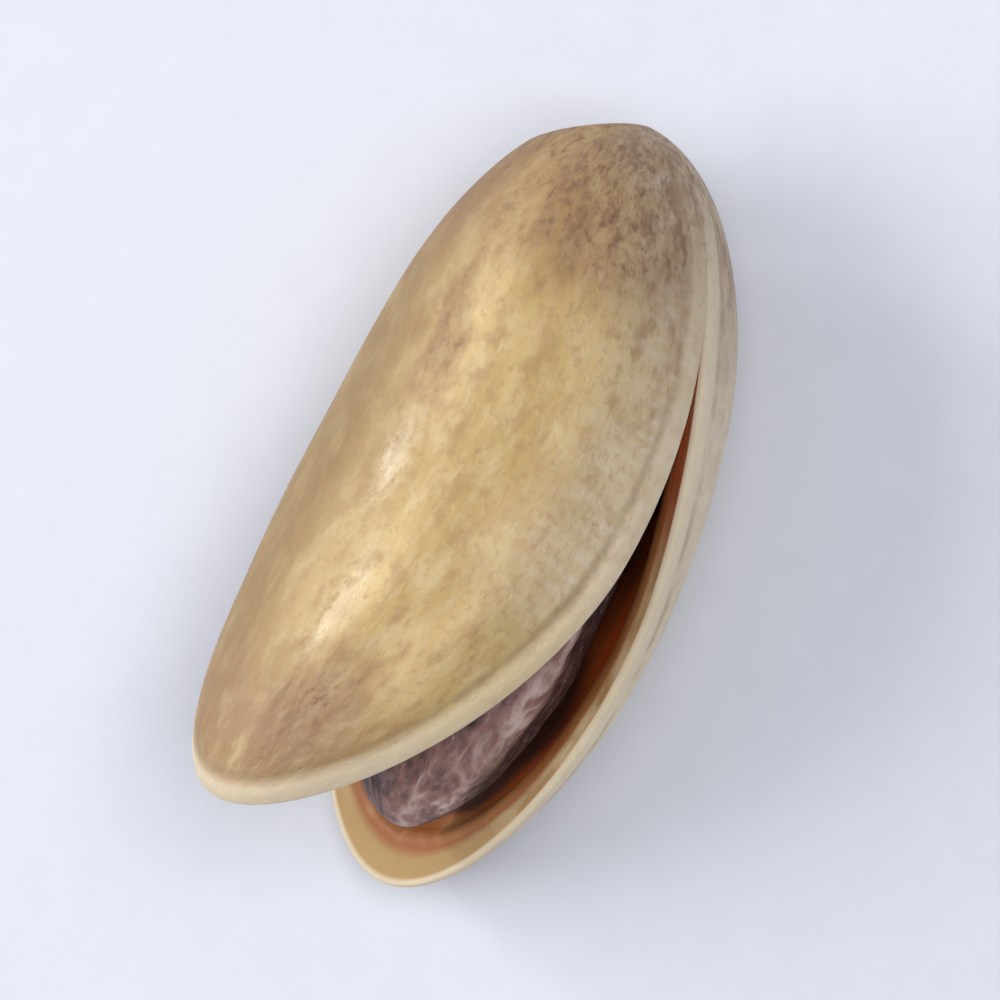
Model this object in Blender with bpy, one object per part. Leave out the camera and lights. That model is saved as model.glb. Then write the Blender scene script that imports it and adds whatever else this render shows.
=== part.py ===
"""A pistachio in its split shell, lying on the lower of its two valves, in metres with +Z up.

The shell is one closed body: two hard valves that are still grown together round the stem end
and gape from there to the tip. The kernel lies loose inside, in the lower valve.

The nut is shaped lying flat, in three directions of its own: along, from the stem end to the tip;
across, in the plane where the valves meet; and out, from that plane into a valve. It is then
rolled and tipped to the way it rests, with the slit facing sideways and up.
"""

import math

import bmesh
import bpy
from mathutils import Matrix, Vector, noise

MM = 0.001

# Shell, closed, as it grew.
SHELL_LENGTH = 21.35 * MM
SHELL_WIDTH = 10.3 * MM
SHELL_DEPTH = 9.0 * MM
WIDEST_AT = 0.54
DEEPEST_AT = 0.3
STEM_POWER = 2.0
TIP_WIDTH_POWER = 1.7
TIP_DEPTH_POWER = 1.45
TIP_BLUNTNESS = 0.51
BACK_BOW = 0.6 * MM
TIP_DROOP = 1.0 * MM

# Wall, and the seam where the valves meet.
WALL = 0.7 * MM
STEM_WALL = 1.6 * MM
TIP_WALL = 1.6 * MM
KEEL_HEIGHT = 0.12 * MM
KEEL_SPREAD = math.radians(9)
RIDGE_HEIGHT = 0.05 * MM
RIDGES_PER_VALVE = 5

# Stem scar, a shallow facet turned towards the back of the seam and a little into the upper valve.
SCAR_TILT = math.radians(31.4)
SCAR_TURN = math.radians(25)
SCAR_DEPTH = 0.45 * MM
SCAR_DISH = 0.15 * MM
SCAR_RADIUS = 1.3 * MM

# Slit: each valve bends away along an arc, and is straight from its end to the tip.
SLIT_START = 0.13
BEND_END = 0.92
VALVE_BEND = math.radians(21.4)

# Kernel, its skin drawn into lengthwise folds and one taller ridge that faces the slit.
KERNEL_LENGTH = 17.2 * MM
KERNEL_WIDTH = 7.4 * MM
KERNEL_DEPTH = 6.0 * MM
KERNEL_CENTRE = Vector((10.9 * MM, 0.42 * MM, -0.32 * MM))
KERNEL_TIP_DOWN = math.radians(8)
KERNEL_WIDEST_AT = 0.47
KERNEL_END_POWER = 2.0
KERNEL_BLUNTNESS = 0.55
FOLD_HEIGHT = 0.13 * MM
FOLDS = 9
FOLD_WANDER = 1.8
WANDERS_ALONG = 3
SLIT_RIDGE_HEIGHT = 0.35 * MM
SLIT_RIDGE_AT = math.radians(12)
SLIT_RIDGE_SPREAD = math.radians(11)

# The way the nut rests, and the small worn spot under its weight.
ROLL = math.radians(38.5)
TIP_UP = math.radians(4.6)
FLAT_SPOT_DEPTH = 0.16 * MM

# Finish.
SHELL_COLOUR = (0.55, 0.42, 0.25)
SHELL_ROUGHNESS = 0.5
SKIN_COLOUR = (0.2, 0.11, 0.12)
SKIN_ROUGHNESS = 0.7

# Mesh.
SHELL_SEGMENTS = 48
CAVITY_SEGMENTS = 32
SHELL_RINGS = 36
KERNEL_SEGMENTS = 36
KERNEL_RINGS = 28
ON_SEAM = 1e-5
SHARP_EDGE = math.radians(50)


def clear_scene():
    for obj in list(bpy.data.objects):
        bpy.data.objects.remove(obj, do_unlink=True)


def new_collection(name):
    collection = bpy.data.collections.new(name)
    bpy.context.scene.collection.children.link(collection)
    return collection


def new_material(name, colour, roughness):
    material = bpy.data.materials.new(name)
    material.use_nodes = True
    surface = material.node_tree.nodes["Principled BSDF"]
    surface.inputs["Base Color"].default_value = (*colour, 1)
    surface.inputs["Roughness"].default_value = roughness
    surface.inputs["Metallic"].default_value = 0
    return material


def clamp(value):
    return min(max(value, 0.0), 1.0)


def bump(angle, centre, spread):
    """1 at the centre angle, falling smoothly to 0 a few spreads away on either side."""
    apart = math.remainder(angle - centre, math.tau)
    return math.exp(-((apart / spread) ** 2))


def taper(x, widest_at, tip_power, bluntness):
    """How wide the nut is at x, from 0 at the stem end to 1 at the tip, as a share of its widest."""
    if x < widest_at:
        before = (widest_at - x) / widest_at
        return math.sqrt(max(1 - before**STEM_POWER, 0))
    after = (x - widest_at) / (1 - widest_at)
    return max(1 - after**tip_power, 0) ** bluntness


def seam_middle(x):
    """How far across the middle of the seam plane lies at x: the nut is bowed, and its tip droops."""
    droop = TIP_DROOP * clamp(2 * x - 1) ** 2
    return BACK_BOW * math.sin(math.pi * x) - droop


def opened(x, across, out, side):
    """A point of the closed nut, moved as its valve bends away. side is 1, -1, or 0 on the seam."""
    bend_length = (BEND_END - SLIT_START) * SHELL_LENGTH
    bend_radius = bend_length / VALVE_BEND
    angle = VALVE_BEND * clamp((x - SLIT_START) / (BEND_END - SLIT_START))
    straight = max(x - BEND_END, 0) * SHELL_LENGTH
    along = min(x, SLIT_START) * SHELL_LENGTH + bend_radius * math.sin(angle)
    along += straight * math.cos(VALVE_BEND) - abs(out) * math.sin(angle)
    apart = bend_radius * (1 - math.cos(angle)) + straight * math.sin(VALVE_BEND)
    apart += abs(out) * math.cos(angle)
    return Vector((along, across, side * apart))


def scarred(point):
    """Presses the stem end in to a facet with a slightly dished middle."""
    sideways = math.sin(SCAR_TILT)
    outward = Vector(
        (-math.cos(SCAR_TILT), -sideways * math.cos(SCAR_TURN), sideways * math.sin(SCAR_TURN))
    )
    half_sizes = Vector((SHELL_LENGTH * WIDEST_AT, SHELL_WIDTH / 2, SHELL_DEPTH / 2))
    reach = (half_sizes * outward).length
    touch = Vector((half_sizes.x, 0, 0)) + half_sizes * half_sizes * outward / reach
    proud = (point - touch).dot(outward) + SCAR_DEPTH
    if proud <= 0:
        return point
    from_middle = (point - touch) - (point - touch).dot(outward) * outward
    dish = SCAR_DISH * max(1 - (from_middle.length / SCAR_RADIUS) ** 2, 0)
    return point - (proud + dish) * outward


def outer_point(x, angle, side):
    """A point of the shell's outside, at x along it and at an angle round it from the slit."""
    half_width = SHELL_WIDTH / 2 * taper(x, WIDEST_AT, TIP_WIDTH_POWER, TIP_BLUNTNESS)
    half_depth = SHELL_DEPTH / 2 * taper(x, DEEPEST_AT, TIP_DEPTH_POWER, TIP_BLUNTNESS)
    fade = math.sin(math.pi * x)
    keel = KEEL_HEIGHT * fade * (bump(angle, 0, KEEL_SPREAD) + bump(angle, math.pi, KEEL_SPREAD))
    ridge = RIDGE_HEIGHT * fade * math.sin(angle) ** 2 * math.cos(2 * RIDGES_PER_VALVE * angle)
    across = seam_middle(x) + (half_width + keel + ridge) * math.cos(angle)
    out = (half_depth + ridge) * math.sin(angle)
    return scarred(opened(x, across, out, side))


def inner_point(share, angle, side):
    """A point of the cavity's wall, at a share of the cavity's length."""
    x_start = STEM_WALL / SHELL_LENGTH
    x_end = 1 - TIP_WALL / SHELL_LENGTH
    x = x_start + (x_end - x_start) * share
    half_width = (SHELL_WIDTH / 2 - WALL) * taper(share, WIDEST_AT, TIP_WIDTH_POWER, TIP_BLUNTNESS)
    half_depth = (SHELL_DEPTH / 2 - WALL) * taper(share, DEEPEST_AT, TIP_DEPTH_POWER, TIP_BLUNTNESS)
    across = seam_middle(x) + half_width * math.cos(angle)
    return opened(x, across, half_depth * math.sin(angle), side)


def sphere_position(vert):
    """The place of a vertex of a unit sphere: its share of the way from pole to pole, and its angle."""
    share = clamp((1 - vert.co.z) / 2)
    angle = math.atan2(vert.co.y, vert.co.x)
    return share, angle


def on_seam(vert):
    return abs(vert.co.y) < ON_SEAM


def split_sphere(segments, rings, split_from):
    """A unit sphere split along its seam from a share of its length, round its tip pole, and back."""
    mesh = bmesh.new()
    bmesh.ops.create_uvsphere(mesh, u_segments=segments, v_segments=rings, radius=1)
    seam = [
        edge
        for edge in mesh.edges
        if all(on_seam(vert) for vert in edge.verts)
        and all(sphere_position(vert)[0] > split_from - ON_SEAM for vert in edge.verts)
    ]
    bmesh.ops.split_edges(mesh, edges=seam)
    return mesh


def side_of(vert):
    """Which valve a vertex belongs to: 1, -1, or 0 where both still share it."""
    if not on_seam(vert):
        return math.copysign(1, vert.co.y)
    middles = [face.calc_center_median().y for face in vert.link_faces]
    if min(middles) < 0 < max(middles):
        return 0
    return math.copysign(1, sum(middles))


def shape_skin(mesh, point_at):
    placed = [(vert, point_at(*sphere_position(vert), side_of(vert))) for vert in mesh.verts]
    for vert, point in placed:
        vert.co = point


def ring_share(rings, wanted):
    """The share of the length at which the ring of a sphere nearest to the wanted share lies."""
    ring = round(math.acos(1 - 2 * wanted) / math.pi * rings)
    return (1 - math.cos(math.pi * ring / rings)) / 2


def rest_matrix():
    return Matrix.Rotation(-TIP_UP, 4, "Y") @ Matrix.Rotation(ROLL, 4, "X")


def shell_mesh():
    """The outside and the cavity, each split along the seam, joined by the valves' rims."""
    split_from = ring_share(SHELL_RINGS, SLIT_START)
    shell = split_sphere(SHELL_SEGMENTS, SHELL_RINGS, split_from)
    shape_skin(shell, outer_point)
    cavity = split_sphere(CAVITY_SEGMENTS, SHELL_RINGS, split_from)
    shape_skin(cavity, inner_point)
    bmesh.ops.reverse_faces(cavity, faces=cavity.faces)
    holder = bpy.data.meshes.new("cavity")
    cavity.to_mesh(holder)
    cavity.free()
    shell.from_mesh(holder)
    bpy.data.meshes.remove(holder)
    rims = [edge for edge in shell.edges if edge.is_boundary]
    bmesh.ops.bridge_loops(shell, edges=rims)
    bmesh.ops.recalc_face_normals(shell, faces=shell.faces)
    return shell


def folded_kernel_point(share, angle):
    """A point of the kernel's skin, in its own directions, from its middle."""
    girth = taper(share, KERNEL_WIDEST_AT, KERNEL_END_POWER, KERNEL_BLUNTNESS)
    width = KERNEL_WIDTH / 2 * girth
    depth = KERNEL_DEPTH / 2 * girth
    fade = math.sin(math.pi * share)
    spot = Vector((share * WANDERS_ALONG, math.cos(angle), math.sin(angle)))
    fold = FOLD_HEIGHT * fade * math.cos(FOLDS * angle + FOLD_WANDER * noise.noise(spot))
    ridge = SLIT_RIDGE_HEIGHT * fade * bump(angle, SLIT_RIDGE_AT, SLIT_RIDGE_SPREAD)
    along = (share - 0.5) * KERNEL_LENGTH
    return Vector((along, (width + fold + ridge) * math.cos(angle), (depth + fold) * math.sin(angle)))


def kernel_mesh():
    kernel = bmesh.new()
    bmesh.ops.create_uvsphere(kernel, u_segments=KERNEL_SEGMENTS, v_segments=KERNEL_RINGS, radius=1)
    shape_skin(kernel, lambda share, angle, side: folded_kernel_point(share, angle))
    lie = Matrix.Translation(KERNEL_CENTRE) @ Matrix.Rotation(KERNEL_TIP_DOWN, 4, "Y")
    bmesh.ops.transform(kernel, matrix=lie, verts=kernel.verts)
    bmesh.ops.recalc_face_normals(kernel, faces=kernel.faces)
    return kernel


def grounding_matrix(shell):
    """Puts the nut's middle over the origin, with the flat spot that will be cut level with z = 0."""
    lows = Vector([min(vert.co[axis] for vert in shell.verts) for axis in range(3)])
    highs = Vector([max(vert.co[axis] for vert in shell.verts) for axis in range(3)])
    middle = (lows + highs) / 2
    return Matrix.Translation((-middle.x, -middle.y, -lows.z - FLAT_SPOT_DEPTH))


def cut_flat_spot(shell):
    cut = bmesh.ops.bisect_plane(
        shell,
        geom=shell.verts[:] + shell.edges[:] + shell.faces[:],
        plane_co=(0, 0, 0),
        plane_no=(0, 0, 1),
        clear_inner=True,
    )
    edges = [item for item in cut["geom_cut"] if isinstance(item, bmesh.types.BMEdge)]
    bmesh.ops.contextual_create(shell, geom=edges)
    bmesh.ops.recalc_face_normals(shell, faces=shell.faces)


def add_object(name, mesh, material, collection):
    data = bpy.data.meshes.new(name)
    mesh.to_mesh(data)
    mesh.free()
    data.materials.append(material)
    data.shade_smooth()
    data.set_sharp_from_angle(angle=SHARP_EDGE)
    obj = bpy.data.objects.new(name, data)
    collection.objects.link(obj)
    return obj


def main():
    clear_scene()
    parts = new_collection("pistachio_in_shell")
    shell = shell_mesh()
    kernel = kernel_mesh()
    bmesh.ops.transform(shell, matrix=rest_matrix(), verts=shell.verts)
    bmesh.ops.transform(kernel, matrix=rest_matrix(), verts=kernel.verts)
    to_ground = grounding_matrix(shell)
    bmesh.ops.transform(shell, matrix=to_ground, verts=shell.verts)
    bmesh.ops.transform(kernel, matrix=to_ground, verts=kernel.verts)
    cut_flat_spot(shell)
    add_object("shell", shell, new_material("shell", SHELL_COLOUR, SHELL_ROUGHNESS), parts)
    add_object("kernel", kernel, new_material("kernel_skin", SKIN_COLOUR, SKIN_ROUGHNESS), parts)


main()
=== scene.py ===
"""The looks of a pistachio in its split shell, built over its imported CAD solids.

Sizes inside the model are in millimetres and are turned to metres when a mesh is made. The nut is
shaped in its own directions: along, from the stem end to the tip; across, in the plane where the
valves meet; and out, from that plane into a valve. It is then rolled and tipped to the way it rests.
"""

import math

import bpy
import numpy as np
from mathutils import Matrix, Vector, noise


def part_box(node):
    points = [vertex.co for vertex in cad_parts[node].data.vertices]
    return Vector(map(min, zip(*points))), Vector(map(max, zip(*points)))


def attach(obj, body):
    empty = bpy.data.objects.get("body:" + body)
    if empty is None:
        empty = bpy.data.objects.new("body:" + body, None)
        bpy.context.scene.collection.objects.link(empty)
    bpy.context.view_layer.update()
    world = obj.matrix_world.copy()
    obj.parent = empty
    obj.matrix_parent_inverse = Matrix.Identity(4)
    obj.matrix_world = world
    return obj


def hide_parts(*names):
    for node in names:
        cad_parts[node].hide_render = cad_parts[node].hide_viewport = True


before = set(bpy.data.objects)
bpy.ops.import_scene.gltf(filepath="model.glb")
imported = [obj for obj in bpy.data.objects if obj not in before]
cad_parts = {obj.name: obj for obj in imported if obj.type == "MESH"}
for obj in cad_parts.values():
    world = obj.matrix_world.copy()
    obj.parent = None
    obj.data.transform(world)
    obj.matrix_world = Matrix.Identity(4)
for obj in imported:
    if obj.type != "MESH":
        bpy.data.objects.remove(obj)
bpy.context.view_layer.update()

MM = 0.001

# Shell, closed, as it grew. These are the CAD source's own dimensions.
SHELL_LENGTH = 21.35
SHELL_WIDTH = 10.3
SHELL_DEPTH = 9.0
WIDEST_AT = 0.54
DEEPEST_AT = 0.3
STEM_POWER = 2.0
TIP_WIDTH_POWER = 1.7
TIP_DEPTH_POWER = 1.45
TIP_BLUNTNESS = 0.51
BACK_BOW = 0.6
TIP_DROOP = 1.0
WALL = 0.7
STEM_WALL = 1.6
TIP_WALL = 1.6
KEEL_HEIGHT = 0.12
KEEL_SPREAD = math.radians(9)
RIDGE_HEIGHT = 0.05
RIDGES_PER_VALVE = 5
SCAR_TILT = math.radians(31.4)
SCAR_TURN = math.radians(25)
SCAR_DEPTH = 0.45
SCAR_DISH = 0.15
SCAR_RADIUS = 1.3
SLIT_START = 0.13
BEND_END = 0.92
VALVE_BEND = math.radians(21.4)
KERNEL_LENGTH = 17.2
KERNEL_WIDTH = 7.4
KERNEL_DEPTH = 6.0
KERNEL_CENTRE = (10.9, 0.42, -0.32)
KERNEL_TIP_DOWN = math.radians(8)
KERNEL_WIDEST_AT = 0.47
KERNEL_END_POWER = 2.0
KERNEL_BLUNTNESS = 0.55
FOLD_HEIGHT = 0.13
FOLDS = 9
FOLD_WANDER = 1.8
WANDERS_ALONG = 3
SLIT_RIDGE_HEIGHT = 0.35
SLIT_RIDGE_AT = math.radians(12)
SLIT_RIDGE_SPREAD = math.radians(11)
ROLL = math.radians(38.5)
TIP_UP = math.radians(4.6)

# Fine relief of the shell.
LIP_RADIUS = 0.14
INNER_LIP_RADIUS = 0.3
SUTURE_RADIUS = 0.07
LIP_OPENS_OVER = 0.06
MARGIN_WIDTH = 0.8
MARGIN_BEAD = 0.035
MARGIN_BEAD_SPREAD = 0.22
MARGIN_GROOVE = 0.04
MARGIN_GROOVE_SPREAD = 0.12
CREASE_DEPTH = 0.012
WAVE_HEIGHT = 0.06
STRIA_HEIGHT = 0.008
GRAIN_HEIGHT = 0.002
INNER_WAVE_HEIGHT = 0.02

# The kernel's crest, where painted light is laid with painted shade away from it, and its wrinkles.
CREST_AT = math.radians(9)
CREST_SPREAD = math.radians(24)
WRINKLE_HEIGHT = 0.1
NET_HEIGHT = 0.03
WRINKLE_LIMIT = 0.06

# Finest bumps and roughness of the materials.
SHELL_BUMP = 0.025
SKIN_BUMP = 0.03
SHELL_ROUGHNESS = 0.47
THREAD_ROUGHNESS = 0.16
STAIN_ROUGHNESS = 0.2
POLISH = 0.22
SKIN_ROUGHNESS = 0.4
SKIN_GRAIN_ROUGHNESS = 0.3

# Camera. The picture's right is turned this far from +Y.
PICTURE_TURN = math.radians(23.3)
CAMERA_DISTANCE = 0.42
CAMERA_AIM_HEIGHT = 0.0045
VIEW_WIDTH = 0.0262
SENSOR_WIDTH = 36

# Lights and floor, in metres and watts.
LIGHT_DISTANCE = 0.5
WINDOW_SIZE, WINDOW_POWER = (0.26, 0.34), 1.5
SLIM_SIZE, SLIM_POWER = (0.03, 0.1), 0.7
OVERHEAD_SIZE, OVERHEAD_POWER = (0.3, 0.3), 1.05
ROOM_COLOUR, ROOM_STRENGTH = (0.9, 0.91, 1.0, 1), 0.38
FLOOR_SIZE = 0.8
FLOOR_BELOW = 0.00002

# Mesh.
RINGS = 280
OUTER_COLUMNS = 112
INNER_COLUMNS = 40
RIM_ROWS = 5
SEAM_CROWDING = 0.6
KERNEL_RINGS = 300
KERNEL_COLUMNS = 300


def clamp01(values):
    return np.clip(values, 0, 1)


def smoothstep(values, low, high):
    share = clamp01((values - low) / (high - low))
    return share * share * (3 - 2 * share)


def bump(angle, centre, spread):
    apart = np.remainder(angle - centre + math.pi, math.tau) - math.pi
    return np.exp(-((apart / spread) ** 2))


def taper(x, widest_at, tip_power, bluntness):
    before = np.maximum(widest_at - x, 0) / widest_at
    after = np.maximum(x - widest_at, 0) / (1 - widest_at)
    stem_end = np.sqrt(np.maximum(1 - before**STEM_POWER, 0))
    return stem_end * np.maximum(1 - after**tip_power, 0) ** bluntness


def seam_middle(x):
    return BACK_BOW * np.sin(math.pi * x) - TIP_DROOP * clamp01(2 * x - 1) ** 2


def opened(points, side):
    """Points of the closed nut, moved as their valve bends away. side is 1, -1, or 0 on the seam."""
    x, across, out = points[..., 0] / SHELL_LENGTH, points[..., 1], points[..., 2]
    bend_radius = (BEND_END - SLIT_START) * SHELL_LENGTH / VALVE_BEND
    angle = VALVE_BEND * clamp01((x - SLIT_START) / (BEND_END - SLIT_START))
    straight = np.maximum(x - BEND_END, 0) * SHELL_LENGTH
    along = np.minimum(x, SLIT_START) * SHELL_LENGTH + bend_radius * np.sin(angle)
    along = along + straight * math.cos(VALVE_BEND) - out * np.sin(angle)
    apart = bend_radius * (1 - np.cos(angle)) + straight * math.sin(VALVE_BEND)
    apart = apart + out * np.cos(angle)
    return np.stack([along, across, side * apart], -1)


def scar_frame():
    sideways = math.sin(SCAR_TILT)
    outward = np.array(
        [-math.cos(SCAR_TILT), -sideways * math.cos(SCAR_TURN), sideways * math.sin(SCAR_TURN)]
    )
    half_sizes = np.array([SHELL_LENGTH * WIDEST_AT, SHELL_WIDTH / 2, SHELL_DEPTH / 2])
    reach = np.linalg.norm(half_sizes * outward)
    touch = np.array([half_sizes[0], 0, 0]) + half_sizes * half_sizes * outward / reach
    return outward, touch


def scarred(points):
    """Presses the stem end in to a facet with a slightly dished middle."""
    outward, touch = scar_frame()
    proud = (points - touch) @ outward + SCAR_DEPTH
    sideways = points - touch - ((points - touch) @ outward)[..., None] * outward
    from_middle = np.linalg.norm(sideways, axis=-1)
    dish = SCAR_DISH * np.maximum(1 - (from_middle / SCAR_RADIUS) ** 2, 0)
    return points - np.where(proud > 0, proud + dish, 0)[..., None] * outward


def noise_at(points, octaves=1):
    """Smooth noise from about -1 to 1 at each point."""
    flat = points.reshape(-1, 3).tolist()
    if octaves == 1:
        values = [noise.noise(spot) for spot in flat]
    else:
        values = [noise.fractal(spot, 1.0, 2.0, octaves) for spot in flat]
    return np.array(values).reshape(points.shape[:-1])


def surface_normals(points, first, last):
    """Normals out of a skin's grid of rows along and columns round. first and last are its poles'."""
    round_it = np.gradient(points, axis=1)
    along_it = np.gradient(points, axis=0)
    normals = np.cross(round_it, along_it)
    normals[0], normals[-1] = first, last
    return normals / np.maximum(np.linalg.norm(normals, axis=-1, keepdims=True), 1e-12)


def half_angles(columns):
    """Angles from one seam to the other, crowded towards both seams."""
    even = np.linspace(0, math.pi, columns + 1)
    return even - SEAM_CROWDING * np.sin(2 * even) / 2


def ring_shares(rings):
    """Shares of the length at which the rings stand, crowded towards both ends."""
    return (1 - np.cos(np.linspace(0, math.pi, rings + 1))) / 2


def grown_place(plain, side, girth):
    """Coordinates in mm for patterns that follow the growth: their lines draw together at both ends."""
    x = clamp01(plain[..., 0] / SHELL_LENGTH)
    drawn_in = 1 / (0.35 + 0.65 * girth)
    across = (plain[..., 1] - seam_middle(x)) * drawn_in
    return np.stack([plain[..., 0], across, side * plain[..., 2] * drawn_in], -1)


def outer_grid(side):
    """The outside of one valve in the closed nut, with its fine relief."""
    x, angle = np.meshgrid(ring_shares(RINGS), half_angles(OUTER_COLUMNS), indexing="ij")
    half_width = SHELL_WIDTH / 2 * taper(x, WIDEST_AT, TIP_WIDTH_POWER, TIP_BLUNTNESS)
    half_depth = SHELL_DEPTH / 2 * taper(x, DEEPEST_AT, TIP_DEPTH_POWER, TIP_BLUNTNESS)
    fade = np.sin(math.pi * x)
    keel = KEEL_HEIGHT * fade * (bump(angle, 0, KEEL_SPREAD) + bump(angle, math.pi, KEEL_SPREAD))
    ridge = RIDGE_HEIGHT * fade * np.sin(angle) ** 2 * np.cos(2 * RIDGES_PER_VALVE * angle)
    across = seam_middle(x) + (half_width + keel + ridge) * np.cos(angle)
    out = (half_depth + ridge) * np.sin(angle)
    plain = np.stack([x * SHELL_LENGTH, across, out], -1)
    place = grown_place(plain, side, half_width / (SHELL_WIDTH / 2))
    relief = shell_relief(place, x, out)
    shaped = plain + relief[..., None] * surface_normals(plain, (-1, 0, 0), (1, 0, 0))
    shaped[..., 2] = np.maximum(shaped[..., 2], 0)
    shaped[:, 0, 2] = shaped[:, -1, 2] = 0
    return plain, shaped, place, out


def lip_drop(out, radius):
    """How far a wall is drawn back near the seam, so that its edge is a quarter round."""
    short = np.maximum(radius - out, 0)
    return radius - np.sqrt(np.maximum(radius * radius - short * short, 0))


def shell_relief(place, x, out):
    """Height in mm of the outside's fine relief: lips, margins, waves, striae and creases."""
    opening = smoothstep(x, SLIT_START - LIP_OPENS_OVER / 2, SLIT_START + LIP_OPENS_OVER)
    radius = SUTURE_RADIUS + (LIP_RADIUS - SUTURE_RADIUS) * opening
    lip = -lip_drop(out, radius)
    bead = MARGIN_BEAD * np.exp(-(((out - MARGIN_WIDTH / 2) / MARGIN_BEAD_SPREAD) ** 2))
    groove = -MARGIN_GROOVE * np.exp(-(((out - MARGIN_WIDTH) / MARGIN_GROOVE_SPREAD) ** 2))
    margin = (bead + groove) * smoothstep(x, 0.05, 0.6)
    waves = WAVE_HEIGHT * noise_at(place * (0.2, 0.4, 0.4))
    striae = STRIA_HEIGHT * noise_at(place * (0.25, 1.4, 1.4) + 7, 2)
    grain = GRAIN_HEIGHT * noise_at(place * (1.6, 3.0, 3.0) + 3, 2)
    beside_slit = smoothstep(out, 0.7, 1.1) * smoothstep(out, 2.8, 1.6)
    beside_slit = beside_slit * smoothstep(place[..., 1], 0, 2)
    creases = CREASE_DEPTH * beside_slit * noise_at(place * (3.4, 0.5, 0.5) + 13)
    away = smoothstep(out, 0, 1.2)
    at_ends = np.sqrt(np.sin(math.pi * x))
    return lip + (margin + away * (waves + striae) + creases + grain) * at_ends


def inner_grid(side):
    """The cavity's wall in one valve of the closed nut, and how deep its points lie, from 0 at the rim."""
    share, angle = np.meshgrid(ring_shares(RINGS), half_angles(INNER_COLUMNS), indexing="ij")
    x_start, x_end = STEM_WALL / SHELL_LENGTH, 1 - TIP_WALL / SHELL_LENGTH
    x = x_start + (x_end - x_start) * share
    half_width = (SHELL_WIDTH / 2 - WALL) * taper(share, WIDEST_AT, TIP_WIDTH_POWER, TIP_BLUNTNESS)
    half_depth = (SHELL_DEPTH / 2 - WALL) * taper(share, DEEPEST_AT, TIP_DEPTH_POWER, TIP_BLUNTNESS)
    across = seam_middle(x) + half_width * np.cos(angle)
    out = half_depth * np.sin(angle)
    plain = np.stack([x * SHELL_LENGTH, across, out], -1)
    place = grown_place(plain, side, half_width / (SHELL_WIDTH / 2 - WALL))
    opening = smoothstep(x, SLIT_START, SLIT_START + 2 * LIP_OPENS_OVER)
    relief = lip_drop(out, INNER_LIP_RADIUS) * opening
    waves = INNER_WAVE_HEIGHT * noise_at(place * (0.3, 0.8, 0.8) + 11, 2)
    relief = relief + waves * smoothstep(out, 0, 0.8)
    shaped = plain + relief[..., None] * surface_normals(plain, (-1, 0, 0), (1, 0, 0))
    shaped[..., 2] = np.maximum(shaped[..., 2], 0)
    shaped[:, 0, 2] = shaped[:, -1, 2] = 0
    deep = np.sin(angle) * smoothstep(half_width / SHELL_WIDTH * 2, 0.02, 0.42)
    return shaped, place, out, deep


class MeshParts:
    """Collects vertices with their values, and faces, for one mesh."""

    def __init__(self):
        self.points, self.values, self.faces = [], {}, []
        self.count = 0

    def add(self, points, **values):
        """Adds points and returns their indices in the same shape."""
        shape = points.shape[:-1]
        size = int(np.prod(shape))
        self.points.append(points.reshape(-1, 3))
        for name, value in values.items():
            width = value.shape[len(shape):]
            self.values.setdefault(name, []).append(value.reshape(size, *width))
        indices = np.arange(self.count, self.count + size).reshape(shape)
        self.count += size
        return indices

    def quads(self, grid, flip):
        """Faces between the rows and columns of a grid of indices."""
        corners = [grid[:-1, :-1], grid[:-1, 1:], grid[1:, 1:], grid[1:, :-1]]
        if flip:
            corners.reverse()
        self.faces.append(np.stack(corners, -1).reshape(-1, 4))


def build_mesh(name, parts):
    """A mesh from the collected parts, without unused points or the empty sides of faces at poles."""
    faces = np.concatenate(parts.faces)
    used, small = np.unique(faces, return_inverse=True)
    small = small.reshape(faces.shape)
    kept = []
    for face in small.tolist():
        corners = [c for i, c in enumerate(face) if c != face[i - 1]]
        if len(corners) > 2:
            kept.append(corners)
    mesh = bpy.data.meshes.new(name)
    mesh.from_pydata((np.concatenate(parts.points)[used] * MM).tolist(), [], kept)
    for value_name, chunks in parts.values.items():
        values = np.concatenate(chunks)[used].astype(np.float32)
        kind, field = ("FLOAT", "value") if values.ndim == 1 else ("FLOAT_VECTOR", "vector")
        attribute = mesh.attributes.new(value_name, kind, "POINT")
        attribute.data.foreach_set(field, values.ravel())
    mesh.shade_smooth()
    mesh.update()
    return mesh


def skin_indices(parts, grids, split, **values):
    """Indices of both valves' grids, joined at the stem pole and along the seams up to the split."""
    upper = parts.add(grids[0], **{name: both[0] for name, both in values.items()})
    lower = parts.add(grids[1], **{name: both[1] for name, both in values.items()})
    for grid in (upper, lower):
        grid[0] = upper[0, 0]
        grid[-1] = grid[-1, 0]
    lower[: split + 1, 0] = upper[: split + 1, 0]
    lower[: split + 1, -1] = upper[: split + 1, -1]
    return upper, lower


def seam_path(grid, split):
    """Indices along one seam from the split to the tip and back along the other."""
    return np.concatenate([grid[split:, 0], grid[-2:split - 1:-1, -1]])


def rest_placement(plain_shell):
    """Rotation and shift from the nut's own directions to the way it rests, in mm."""
    turn = Matrix.Rotation(-TIP_UP, 3, "Y") @ Matrix.Rotation(ROLL, 3, "X")
    turn = np.array(turn)
    rested = plain_shell.reshape(-1, 3) @ turn.T
    low, high = rested.min(0), rested.max(0)
    box_low, box_high = (np.array(corner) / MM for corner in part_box("shell"))
    shift = (box_low + box_high) / 2 - (low + high) / 2
    shift[2] = box_high[2] - high[2]
    return turn, shift


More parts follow.
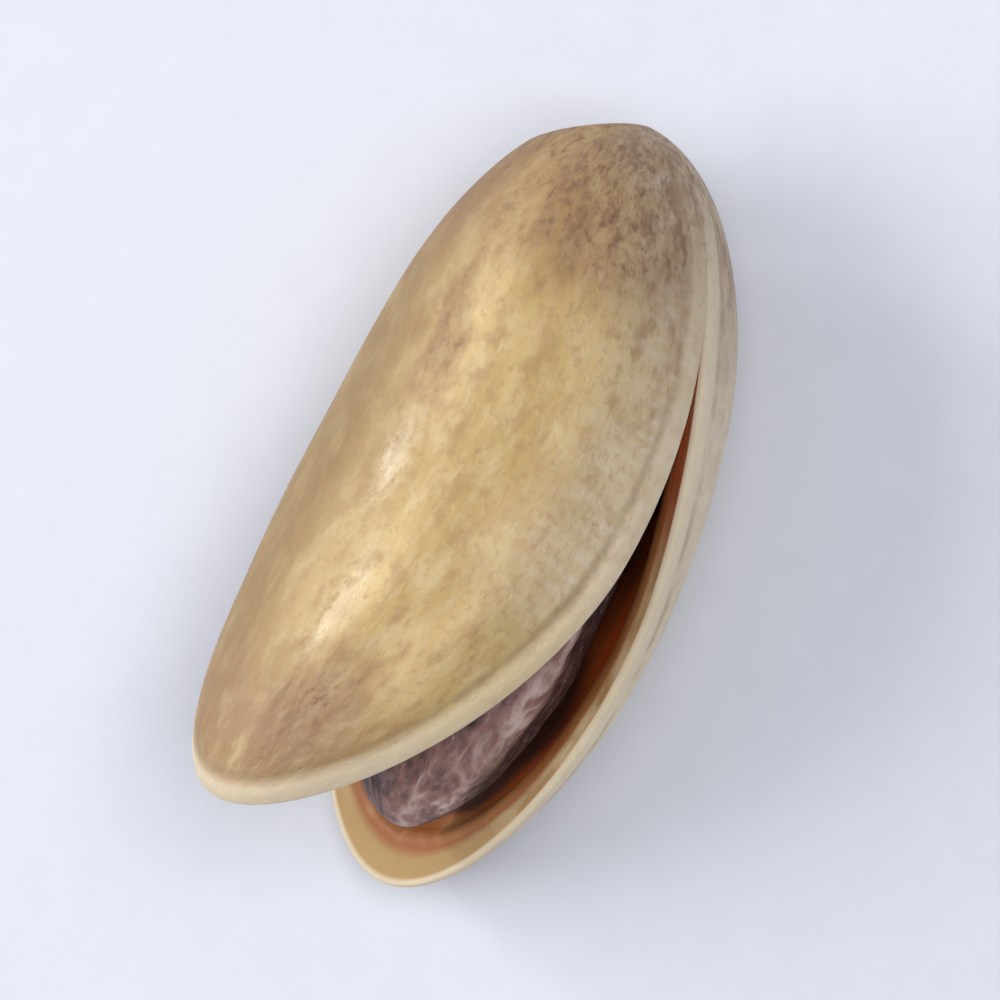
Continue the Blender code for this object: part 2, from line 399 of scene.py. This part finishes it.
def shell_and_placement():
    parts = MeshParts()
    split = int(np.argmin(np.abs(ring_shares(RINGS) - SLIT_START)))
    sides = (1, -1)
    outer = [outer_grid(side) for side in sides]
    inner = [inner_grid(side) for side in sides]
    plain = np.concatenate([scarred(opened(o[0], s)).reshape(-1, 3) for o, s in zip(outer, sides)])
    turn, shift = rest_placement(plain)

    def placed(points):
        return points @ turn.T + shift

    def seam_side(shape, side):
        sides = np.full(shape, float(side))
        sides[: split + 1, 0] = sides[: split + 1, -1] = 0
        return sides

    outer_points = [
        placed(scarred(opened(o[1], seam_side(o[1].shape[:2], s)))) for o, s in zip(outer, sides)
    ]
    inner_points = [placed(opened(i[0], seam_side(i[0].shape[:2], s))) for i, s in zip(inner, sides)]
    outside = skin_indices(
        parts, outer_points, split,
        grown=[o[2] for o in outer],
        from_seam=[o[3] for o in outer],
        wall=[np.zeros(o[3].shape) for o in outer],
        deep=[np.zeros(o[3].shape) for o in outer],
        valve=[np.full(o[3].shape, float(s)) for o, s in zip(outer, sides)],
    )
    inside = skin_indices(
        parts, inner_points, split,
        grown=[i[1] for i in inner],
        from_seam=[i[2] for i in inner],
        wall=[np.ones(i[2].shape) for i in inner],
        deep=[i[3] for i in inner],
        valve=[np.full(i[2].shape, float(s)) for i, s in zip(inner, sides)],
    )
    for index, side in enumerate(sides):
        parts.quads(outside[index], flip=side < 0)
        parts.quads(inside[index], flip=side > 0)
    add_rims(parts, outside, inside, split, sides)
    return parts, turn, shift


def add_rims(parts, outside, inside, split, sides):
    """The face between the outside's lip and the inside's, round each valve."""
    shared = None
    for index, side in enumerate(sides):
        points = np.concatenate(parts.points)
        grown = np.concatenate(parts.values["grown"])
        from_path, to_path = seam_path(outside[index], split), seam_path(inside[index], split)
        share = np.linspace(0, 1, RIM_ROWS + 1)[1:-1, None]
        mid_points = points[from_path] + share[..., None] * (points[to_path] - points[from_path])
        mid_grown = grown[from_path] + share[..., None] * (grown[to_path] - grown[from_path])
        shape = mid_points.shape[:2]
        rows = parts.add(
            mid_points,
            grown=mid_grown,
            from_seam=np.zeros(shape),
            wall=np.broadcast_to(share, shape),
            deep=np.zeros(shape),
            valve=np.full(shape, float(side)),
        )
        if shared is None:
            shared = rows[:, 0].copy(), rows[:, -1].copy()
        rows[:, 0], rows[:, -1] = shared
        grid = np.concatenate([from_path[None], rows, to_path[None]])
        parts.quads(grid.T, flip=side > 0)


def kernel_grid():
    """The kernel's skin with its folds, its taller ridge and its wrinkles."""
    even = np.linspace(0, math.tau, KERNEL_COLUMNS + 1)
    share, angle = np.meshgrid(ring_shares(KERNEL_RINGS), even, indexing="ij")
    girth = taper_kernel(share)
    fade = np.sin(math.pi * share)
    spot = np.stack([share * WANDERS_ALONG, np.cos(angle), np.sin(angle)], -1)
    fold = FOLD_HEIGHT * fade * np.cos(FOLDS * angle + FOLD_WANDER * noise_at(spot))
    ridge = SLIT_RIDGE_HEIGHT * fade * bump(angle, SLIT_RIDGE_AT, SLIT_RIDGE_SPREAD)
    across = (KERNEL_WIDTH / 2 * girth + fold + ridge) * np.cos(angle)
    out = (KERNEL_DEPTH / 2 * girth + fold) * np.sin(angle)
    plain = np.stack([(share - 0.5) * KERNEL_LENGTH, across, out], -1)
    place = plain + (KERNEL_LENGTH / 2, 0, 0)
    wander = 0.5 * noise_at(place * 0.5 + 5)
    bent = place + np.stack([np.zeros_like(wander), wander, wander], -1)
    long_folds = 1 - np.abs(noise_at(bent * (0.16, 0.9, 0.9) + 2, 2)) * 2.2
    net = 1 - np.abs(noise_at(bent * (1.1, 2.6, 2.6) + 9, 2)) * 2.2
    ends = np.sqrt(fade)
    relief = (WRINKLE_HEIGHT * (long_folds - 0.6) + NET_HEIGHT * (net - 0.6)) * ends
    # The height value is painted light along the crest and painted shade away from it, widest above the
    # crest near the tip, with the wrinkles added.
    below = np.remainder(angle - CREST_AT + math.pi, math.tau) < math.pi
    above_spread = CREST_SPREAD * (1 + 2.5 * smoothstep(share, 0.8, 0.95))
    painted_light_crest = bump(angle, CREST_AT, np.where(below, CREST_SPREAD * 0.7, above_spread))
    height = clamp01(0.12 + 0.7 * painted_light_crest + 0.35 * (long_folds - 0.6) + 0.25 * (net - 0.6))
    relief = np.minimum(relief, WRINKLE_LIMIT)
    shaped = plain + relief[..., None] * surface_normals(plain, (-1, 0, 0), (1, 0, 0))
    return shaped, place, height


def taper_kernel(share):
    before = np.maximum(KERNEL_WIDEST_AT - share, 0) / KERNEL_WIDEST_AT
    after = np.maximum(share - KERNEL_WIDEST_AT, 0) / (1 - KERNEL_WIDEST_AT)
    stem_end = np.sqrt(np.maximum(1 - before**STEM_POWER, 0))
    return stem_end * np.maximum(1 - after**KERNEL_END_POWER, 0) ** KERNEL_BLUNTNESS


def kernel_parts(turn, shift):
    shaped, place, height = kernel_grid()
    lean = np.array(Matrix.Rotation(KERNEL_TIP_DOWN, 3, "Y"))
    points = (shaped @ lean.T + KERNEL_CENTRE) @ turn.T + shift
    parts = MeshParts()
    grid = parts.add(points, grown=place, height=height)
    grid[0], grid[-1] = grid[0, 0], grid[-1, 0]
    grid[:, -1] = grid[:, 0]
    parts.quads(grid, flip=False)
    return parts


def linear(red, green, blue):
    """A colour given as it looks on a screen, 0 to 255, in the renderer's own scale."""
    parts = [value / 255 for value in (red, green, blue)]
    return (*[p / 12.92 if p < 0.04045 else ((p + 0.055) / 1.055) ** 2.4 for p in parts], 1)


class Nodes:
    """Short ways to add shader nodes to one material."""

    def __init__(self, name):
        self.material = bpy.data.materials.new(name)
        self.material.use_nodes = True
        self.tree = self.material.node_tree
        self.surface = self.tree.nodes["Principled BSDF"]

    def put(self, socket, value):
        """Links a node's output to the socket, or sets the socket to a plain value."""
        if isinstance(value, bpy.types.NodeSocket):
            self.tree.links.new(value, socket)
        else:
            socket.default_value = value

    def attribute(self, name, vector=False):
        node = self.tree.nodes.new("ShaderNodeAttribute")
        node.attribute_name = name
        return node.outputs["Vector" if vector else "Fac"]

    def maths(self, operation, first, second=0.0, clamp=False):
        node = self.tree.nodes.new("ShaderNodeMath")
        node.operation = operation
        node.use_clamp = clamp
        self.put(node.inputs[0], first)
        self.put(node.inputs[1], second)
        return node.outputs[0]

    def vector(self, operation, first, second):
        node = self.tree.nodes.new("ShaderNodeVectorMath")
        node.operation = operation
        self.put(node.inputs[0], first)
        self.put(node.inputs[1], second)
        return node.outputs["Value" if operation in ("LENGTH", "DOT_PRODUCT") else "Vector"]

    def share(self, value, part):
        """The given part of a value."""
        return self.maths("MULTIPLY", value, part)

    def noise(self, place, stretch, detail=2.0, roughness=0.5, warp=0.0, shift=0.0):
        """Noise from 0 to 1 with its pattern drawn out by stretch, in patterns a millimetre."""
        scaled = self.vector("MULTIPLY", place, stretch)
        moved = self.vector("ADD", scaled, (shift, shift, shift))
        node = self.tree.nodes.new("ShaderNodeTexNoise")
        node.inputs["Scale"].default_value = 1.0
        node.inputs["Detail"].default_value = detail
        node.inputs["Roughness"].default_value = roughness
        node.inputs["Distortion"].default_value = warp
        self.put(node.inputs["Vector"], moved)
        return node.outputs["Fac"]

    def cells(self, place, stretch, feature="F1"):
        scaled = self.vector("MULTIPLY", place, stretch)
        node = self.tree.nodes.new("ShaderNodeTexVoronoi")
        node.feature = feature
        node.inputs["Scale"].default_value = 1.0
        self.put(node.inputs["Vector"], scaled)
        return node.outputs["Distance"]

    def between(self, value, low, high):
        """0 below low, 1 above high, smooth in between. Low may be the larger one."""
        node = self.tree.nodes.new("ShaderNodeMapRange")
        node.interpolation_type = "SMOOTHSTEP"
        self.put(node.inputs["Value"], value)
        node.inputs["From Min"].default_value = low
        node.inputs["From Max"].default_value = high
        return node.outputs["Result"]

    def mix(self, share, first, second, blend="MIX"):
        """Two colours mixed. Inputs 6 and 7 and output 2 are the Mix node's colour sockets."""
        node = self.tree.nodes.new("ShaderNodeMix")
        node.data_type = "RGBA"
        node.blend_type = blend
        self.put(node.inputs[0], share)
        self.put(node.inputs[6], first)
        self.put(node.inputs[7], second)
        return node.outputs[2]

    def bumps(self, height, distance, normal=None):
        node = self.tree.nodes.new("ShaderNodeBump")
        node.inputs["Strength"].default_value = 1.0
        node.inputs["Distance"].default_value = distance
        self.put(node.inputs["Height"], height)
        if normal is not None:
            self.put(node.inputs["Normal"], normal)
        return node.outputs["Normal"]


# Places of the stains, in the pattern's own coordinates.
STAIN_AT = (2.4, 2.9, 3.2)
STREAK_AT = (7.6, -0.2, 4.6)
BLOTCH_AT = (18.9, 1.9, 2.5)
POLISHED_AT = ((11.6, -0.1, 3.9), (16.3, 0.8, 3.3))

SHELL_TAN = linear(200, 173, 116)
SHELL_OLIVE = linear(178, 150, 92)
SHELL_PALE = linear(210, 192, 146)
SHELL_BROWN = linear(158, 122, 78)
# The shell's own pale grey, also used as painted light beside the slit.
SHELL_GREY_AND_PAINTED_LIGHT = linear(216, 200, 176)
# Painted light: a whitish tone that brightens the lower valve's shaded side below the slit.
SHELL_UNDER_PAINTED_LIGHT = linear(246, 230, 200)
# Partly the back flank's own browner tone, partly painted shade.
BACK_BROWN_AND_PAINTED_SHADE = linear(130, 103, 60)
MARGIN_PALE = linear(224, 211, 182)
MARGIN_LINE = linear(150, 126, 92)
# The tip's own pinkish-brown tone, darkened further as painted shade.
TIP_PINK_AND_PAINTED_SHADE = linear(144, 113, 80)
STAIN = linear(130, 96, 72)
STAIN_SPECK = linear(94, 66, 54)
RIM_CREAM = linear(208, 186, 142)
RIM_TIP = linear(170, 138, 86)
# Painted shade for the rims inside the narrow part of the slit, tinted orange.
SLIT_PAINTED_SHADE = linear(150, 66, 28)
RIM_GOLD = linear(172, 134, 84)
INNER_TAN = linear(166, 114, 64)
INNER_ORANGE = linear(152, 88, 40)
# Painted glow: a bright orange that stands in for light shining through the thin wall.
INNER_PAINTED_GLOW = linear(246, 122, 52)
# Painted shade for the deep cavity.
INNER_PAINTED_SHADE = linear(74, 38, 26)
SKIN_MAUVE = linear(150, 110, 102)
SKIN_DARK = linear(78, 56, 54)
# Serves both the skin's dust and the painted light on the crest.
SKIN_DUST_AND_PAINTED_LIGHT = linear(212, 188, 178)
SKIN_OLIVE = linear(150, 128, 88)


def spot(n, grown, centre, stretch, ragged, size, soft):
    """1 inside a ragged spot of the given size in mm round a place on the shell, 0 outside it."""
    offset = n.vector("SUBTRACT", grown, centre)
    away = n.vector("LENGTH", n.vector("MULTIPLY", offset, stretch), (0, 0, 0))
    return n.between(n.maths("ADD", away, ragged), size + soft, size - soft)


def shell_stain(n, grown, along, specks, blots):
    """How stained the outside is: broadly at the stem end, with a tongue from it, and near the tip."""
    rough_edge = n.maths("MULTIPLY", n.maths("SUBTRACT", blots, 0.5), 3.6)
    fine_edge = n.maths("MULTIPLY", n.maths("SUBTRACT", specks, 0.5), 2.0)
    rough_edge = n.maths("ADD", rough_edge, fine_edge)
    patch = spot(n, grown, STAIN_AT, (0.9, 0.65, 0.65), rough_edge, 2.7, 1.5)
    tongue = n.share(spot(n, grown, STREAK_AT, (0.35, 1.2, 1.2), rough_edge, 1.0, 0.9), 0.85)
    near_tip = n.share(spot(n, grown, BLOTCH_AT, (0.8, 1.0, 1.0), rough_edge, 1.5, 0.9), 0.85)
    near_stem = n.share(n.between(n.maths("ADD", along, rough_edge), 8.0, 2.0), 0.8)
    stain = n.maths("MAXIMUM", patch, near_stem)
    stain = n.maths("MAXIMUM", stain, n.maths("MAXIMUM", tongue, near_tip))
    flames = n.noise(grown, (0.5, 1.6, 1.6), detail=3, roughness=0.6, shift=140)
    cloud = n.maths("ADD", n.share(blots, 0.3), n.share(flames, 0.35))
    cloud = n.maths("ADD", n.share(specks, 0.35), cloud)
    return n.maths("MULTIPLY", stain, n.maths("ADD", n.share(n.between(cloud, 0.4, 0.6), 0.5), 0.42))


def shell_outside(n, grown, from_seam, valve):
    """Colour of the outside: mottled tan, stained at the stem end, pale along its margins, with painted
    light on the slit side and painted shade on the back flank and the tip.
    """
    along = n.vector("DOT_PRODUCT", grown, (1, 0, 0))
    across = n.vector("DOT_PRODUCT", grown, (0, 1, 0))
    streaks = n.noise(grown, (0.12, 0.55, 0.55), detail=2, roughness=0.5)
    mottle = n.noise(grown, (0.8, 1.3, 1.3), detail=4, roughness=0.6, shift=20)
    blots = n.noise(grown, (1.2, 1.8, 1.8), detail=3, shift=120)
    threads = n.noise(grown, (1.1, 3.6, 3.6), detail=3, roughness=0.6, shift=40)
    specks = n.noise(grown, (3.0, 4.0, 4.0), detail=3, roughness=0.65, shift=60)
    colour = n.mix(n.between(streaks, 0.36, 0.64), SHELL_OLIVE, SHELL_TAN)
    # Below the slit the lower valve is painted paler, as painted light on its shaded side.
    below_slit = n.maths("MULTIPLY", n.between(valve, 0.2, -0.2), n.between(across, 0.5, 3.5))
    colour = n.mix(n.share(below_slit, 0.8), colour, SHELL_UNDER_PAINTED_LIGHT)
    # The back flank is browner: partly its own tone, partly painted shade that damps the window lamp's
    # light on that side.
    colour = n.mix(n.share(n.between(across, 0.8, -2.4), 0.85), colour, BACK_BROWN_AND_PAINTED_SHADE)
    # Towards the tip: its own pinkish-brown tone, darkened further as painted shade against the strong
    # light there.
    colour = n.mix(n.share(n.between(along, 16.5, 20.0), 0.75), colour, TIP_PINK_AND_PAINTED_SHADE)
    strokes = n.noise(grown, (3.0, 0.8, 0.8), detail=1, shift=160)
    # Beside the slit: the shell's own pale grey, spread wide and strong as painted light on the slit
    # side's shaded flank.
    beside_slit = n.maths("MULTIPLY", n.between(from_seam, 3.6, 1.2), n.between(across, 0.0, 2.0))
    beside_slit = n.maths("MULTIPLY", beside_slit, n.between(along, 15.5, 12.0))
    stroked = n.maths("ADD", n.share(n.between(strokes, 0.3, 0.7), 0.5), 0.5)
    beside_slit = n.maths("MULTIPLY", beside_slit, stroked)
    colour = n.mix(n.share(beside_slit, 0.85), colour, SHELL_GREY_AND_PAINTED_LIGHT)
    flecks = n.maths("ADD", n.share(n.between(across, -2.5, 1.0), 0.3), 0.22)
    colour = n.mix(n.maths("MULTIPLY", n.between(mottle, 0.42, 0.78), flecks), colour, SHELL_PALE)
    spotted = n.maths("SUBTRACT", 0.43, n.share(below_slit, 0.27))
    colour = n.mix(n.maths("MULTIPLY", n.between(blots, 0.5, 0.3), spotted), colour, SHELL_BROWN)
    fine_grey = n.maths("ADD", n.share(n.between(across, -1.5, 2.0), 0.14), 0.06)
    colour = n.mix(n.maths("MULTIPLY", n.between(threads, 0.48, 0.74), fine_grey), colour, SHELL_GREY_AND_PAINTED_LIGHT)
    colour = n.mix(n.maths("MULTIPLY", n.between(specks, 0.5, 0.72), spotted), colour, SHELL_BROWN)
    stain = shell_stain(n, grown, along, specks, blots)
    colour = n.mix(stain, colour, STAIN)
    dark_specks = n.maths("MULTIPLY", n.between(specks, 0.5, 0.68), n.between(stain, 0.3, 0.8))
    colour = n.mix(n.share(dark_specks, 0.3), colour, STAIN_SPECK)
    toward_tip = n.maths("ADD", n.share(n.between(along, 14.0, 19.0), 0.3), 0.4)
    toward_tip = n.maths("MAXIMUM", toward_tip, n.share(n.between(valve, 0.2, -0.2), 0.6))
    margin = n.between(from_seam, MARGIN_WIDTH + 0.1, MARGIN_WIDTH - 0.3)
    margin = n.maths("MULTIPLY", margin, toward_tip)
    margin = n.maths("MULTIPLY", margin, n.between(along, 1.0, 3.5))
    colour = n.mix(margin, colour, MARGIN_PALE)
    line = n.maths("MULTIPLY", n.between(from_seam, 1.1, 0.85), n.between(from_seam, 0.55, 0.8))
    line = n.maths("MULTIPLY", line, n.between(mottle, 0.35, 0.6))
    colour = n.mix(n.share(line, 0.45), colour, MARGIN_LINE)
    return colour, stain, threads, specks


def shell_inside(n, grown, deep):
    """Colour of the cavity's wall: orange up to the rim, a painted glow further in, and painted shade
    deepest in the cavity and towards the opening's ends.
    """
    mottle = n.noise(grown, (0.3, 0.9, 0.9), detail=3, shift=80)
    colour = n.mix(n.between(mottle, 0.4, 0.65), INNER_ORANGE, INNER_TAN)
    along = n.vector("DOT_PRODUCT", grown, (1, 0, 0))
    # Painted glow of light through the wall, on the cavity's wall further in from the rim, fading out
    # towards the tip.
    painted_glow = n.maths("MULTIPLY", n.between(deep, 0.02, 0.3), n.between(along, 19.4, 17.0))
    colour = n.mix(painted_glow, colour, INNER_PAINTED_GLOW)
    # Painted shade: darkest deep in the cavity, with more of it towards the stem end and a little towards
    # the tip.
    at_ends = n.share(n.between(along, 13.0, 17.0), 0.14)
    at_ends = n.maths("ADD", at_ends, n.share(n.between(along, 10.0, 7.0), 0.6))
    painted_shade = n.maths("ADD", deep, n.share(n.maths("SUBTRACT", mottle, 0.5), 0.2))
    painted_shade = n.maths("ADD", painted_shade, at_ends)
    return n.mix(n.between(painted_shade, 0.76, 0.98), colour, INNER_PAINTED_SHADE)


def shell_material():
    """The outside, the rims and the cavity in one material, told apart by the mesh's own values."""
    n = Nodes("shell_look")
    grown = n.attribute("grown", vector=True)
    from_seam = n.attribute("from_seam")
    wall = n.attribute("wall")
    outside, stain, threads, specks = shell_outside(n, grown, from_seam, n.attribute("valve"))
    mottle = n.noise(grown, (1.0, 1.0, 1.0), detail=3, shift=100)
    rim = n.mix(n.between(mottle, 0.3, 0.75), RIM_GOLD, RIM_CREAM)
    along = n.vector("DOT_PRODUCT", grown, (1, 0, 0))
    rim = n.mix(n.between(along, 17.5, 20.0), rim, RIM_TIP)
    rim = n.mix(n.between(wall, 0.55, 0.95), rim, INNER_ORANGE)
    # Painted shade: the rims darkened to rust-orange where the slit is narrow, towards the stem end.
    rim = n.mix(n.share(n.between(along, 12.5, 8.5), 0.9), rim, SLIT_PAINTED_SHADE)
    colour = n.mix(n.between(wall, 0.0, 0.15), outside, rim)
    colour = n.mix(n.between(wall, 0.9, 1.0), colour, shell_inside(n, grown, n.attribute("deep")))
    n.put(n.surface.inputs["Base Color"], colour)
    ragged = n.maths("MULTIPLY", n.maths("SUBTRACT", specks, 0.5), 1.6)
    polished = [spot(n, grown, place, (0.4, 1.5, 1.5), ragged, 0.8, 0.5) for place in POLISHED_AT]
    polished = n.maths("MAXIMUM", *polished)
    roughness = n.maths("ADD", n.share(threads, THREAD_ROUGHNESS), SHELL_ROUGHNESS)
    roughness = n.maths("ADD", roughness, n.share(stain, STAIN_ROUGHNESS))
    roughness = n.maths("SUBTRACT", roughness, n.share(polished, POLISH))
    n.put(n.surface.inputs["Roughness"], roughness)
    pits = n.between(n.cells(grown, (1.8, 3.0, 3.0)), 0.22, 0.05)
    height = n.maths("ADD", threads, n.maths("MULTIPLY", specks, 0.6))
    height = n.maths("SUBTRACT", height, n.maths("MULTIPLY", pits, 0.35))
    height = n.maths("MULTIPLY", height, n.maths("SUBTRACT", 1.0, n.share(polished, 0.75)))
    n.put(n.surface.inputs["Normal"], n.bumps(height, SHELL_BUMP * MM))
    n.surface.inputs["Subsurface Weight"].default_value = 0.3
    n.surface.inputs["Subsurface Radius"].default_value = (1.0, 0.4, 0.16)
    n.surface.inputs["Subsurface Scale"].default_value = 0.8 * MM
    return n.material


def kernel_material():
    """Dry purple-brown skin, with painted light along its crest and painted shade away from it; paler on
    its raised folds.
    """
    n = Nodes("kernel_look")
    grown = n.attribute("grown", vector=True)
    height = n.attribute("height")
    patches = n.noise(grown, (0.3, 0.5, 0.5), detail=3, shift=10)
    grain = n.noise(grown, (2.5, 6.0, 6.0), detail=4, roughness=0.65, shift=30)
    net = n.cells(grown, (2.0, 4.0, 4.0), "DISTANCE_TO_EDGE")
    # Painted shade where the height value is low, painted light where it is high.
    colour = n.mix(n.between(height, 0.02, 0.72), SKIN_DARK, SKIN_MAUVE)
    colour = n.mix(n.share(n.between(height, 0.6, 1.0), 0.8), colour, SKIN_DUST_AND_PAINTED_LIGHT)
    colour = n.mix(n.share(n.between(patches, 0.56, 0.72), 0.35), colour, SKIN_OLIVE)
    colour = n.mix(n.share(n.between(grain, 0.5, 0.75), 0.35), colour, SKIN_DUST_AND_PAINTED_LIGHT)
    colour = n.mix(n.share(n.between(grain, 0.45, 0.25), 0.5), colour, SKIN_DARK)
    n.put(n.surface.inputs["Base Color"], colour)
    roughness = n.maths("ADD", n.share(grain, SKIN_GRAIN_ROUGHNESS), SKIN_ROUGHNESS)
    n.put(n.surface.inputs["Roughness"], roughness)
    fine = n.maths("ADD", grain, n.maths("MULTIPLY", n.between(net, 0.0, 0.12), 0.5))
    n.put(n.surface.inputs["Normal"], n.bumps(fine, SKIN_BUMP * MM))
    n.surface.inputs["Subsurface Weight"].default_value = 0.05
    n.surface.inputs["Subsurface Scale"].default_value = 0.4 * MM
    return n.material


def add_piece(name, mesh, material, node):
    mesh.materials.append(material)
    piece = bpy.data.objects.new(name, mesh)
    bpy.context.scene.collection.objects.link(piece)
    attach(piece, "root")
    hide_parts(node)
    return piece


def add_floor():
    bpy.ops.mesh.primitive_plane_add(size=FLOOR_SIZE)
    floor = bpy.context.object
    floor.name = "floor"
    floor.location.z = -FLOOR_BELOW
    n = Nodes("floor_look")
    place = n.tree.nodes.new("ShaderNodeTexCoord").outputs["Object"]
    grain = n.noise(place, (900, 900, 900), detail=3)
    n.put(n.surface.inputs["Base Color"], n.mix(grain, linear(220, 224, 233), linear(226, 230, 239)))
    n.surface.inputs["Roughness"].default_value = 0.75
    floor.data.materials.append(n.material)


def image_axes():
    """Directions in the scene that the picture's right and up stand for."""
    right = Vector((-math.sin(PICTURE_TURN), math.cos(PICTURE_TURN), 0))
    up = Vector((-math.cos(PICTURE_TURN), -math.sin(PICTURE_TURN), 0))
    return right, up


def add_camera():
    right, up = image_axes()
    data = bpy.data.cameras.new("camera")
    data.sensor_width = SENSOR_WIDTH
    data.lens = SENSOR_WIDTH * CAMERA_DISTANCE / VIEW_WIDTH
    data.clip_start, data.clip_end = 0.01, 5
    camera = bpy.data.objects.new("camera", data)
    back = Vector((0, 0, 1))
    turn = Matrix((right, up, back)).transposed()
    place = Vector((0, 0, CAMERA_AIM_HEIGHT)) + back * CAMERA_DISTANCE
    camera.matrix_world = Matrix.Translation(place) @ turn.to_4x4()
    bpy.context.scene.collection.objects.link(camera)
    bpy.context.scene.camera = camera


def add_area_light(name, place, long_way, size, power, colour):
    """A rectangle that faces the nut, with its longer side turned to run along long_way."""
    data = bpy.data.lights.new(name, "AREA")
    data.shape = "RECTANGLE"
    data.size, data.size_y = size
    data.energy = power
    data.color = colour
    light = bpy.data.objects.new(name, data)
    back = place.normalized()
    across = long_way.cross(back).normalized()
    turn = Matrix((across, back.cross(across), back)).transposed()
    light.matrix_world = Matrix.Translation(place) @ turn.to_4x4()
    bpy.context.scene.collection.objects.link(light)


def add_lights():
    """A broad window at the left, a slim one that draws the glints, one overhead and a pale room."""
    right, up = image_axes()
    high = Vector((0, 0, 1))
    window = (-0.9 * right + 0.15 * up + 0.68 * high).normalized()
    window = window * LIGHT_DISTANCE
    add_area_light("window", window, up, WINDOW_SIZE, WINDOW_POWER, (1.0, 0.98, 0.97))
    slim = (-0.84 * right + 0.5 * up + 0.22 * high).normalized()
    run = 0.1 * right + 0.25 * up - 0.1 * high
    slim = slim * LIGHT_DISTANCE
    add_area_light("slim_window", slim, run, SLIM_SIZE, SLIM_POWER, (1.0, 1.0, 1.0))
    overhead = (0.17 * right + 0.05 * up + 0.98 * high).normalized()
    overhead = overhead * LIGHT_DISTANCE
    add_area_light("overhead", overhead, up, OVERHEAD_SIZE, OVERHEAD_POWER, (0.98, 0.98, 1.0))
    world = bpy.data.worlds.new("world")
    world.use_nodes = True
    background = world.node_tree.nodes["Background"]
    background.inputs["Color"].default_value = ROOM_COLOUR
    background.inputs["Strength"].default_value = ROOM_STRENGTH
    bpy.context.scene.world = world


def main():
    scene = bpy.context.scene
    scene.view_settings.view_transform = "Standard"
    shell, turn, shift = shell_and_placement()
    for points in shell.points:
        points[:, 2] = np.maximum(points[:, 2], 0)
    shell_mesh = build_mesh("pistachio_shell", shell)
    add_piece("pistachio_shell", shell_mesh, shell_material(), "shell")
    kernel = kernel_parts(turn, shift)
    kernel_mesh = build_mesh("pistachio_kernel", kernel)
    add_piece("pistachio_kernel", kernel_mesh, kernel_material(), "kernel")
    add_floor()
    add_camera()
    add_lights()


main()
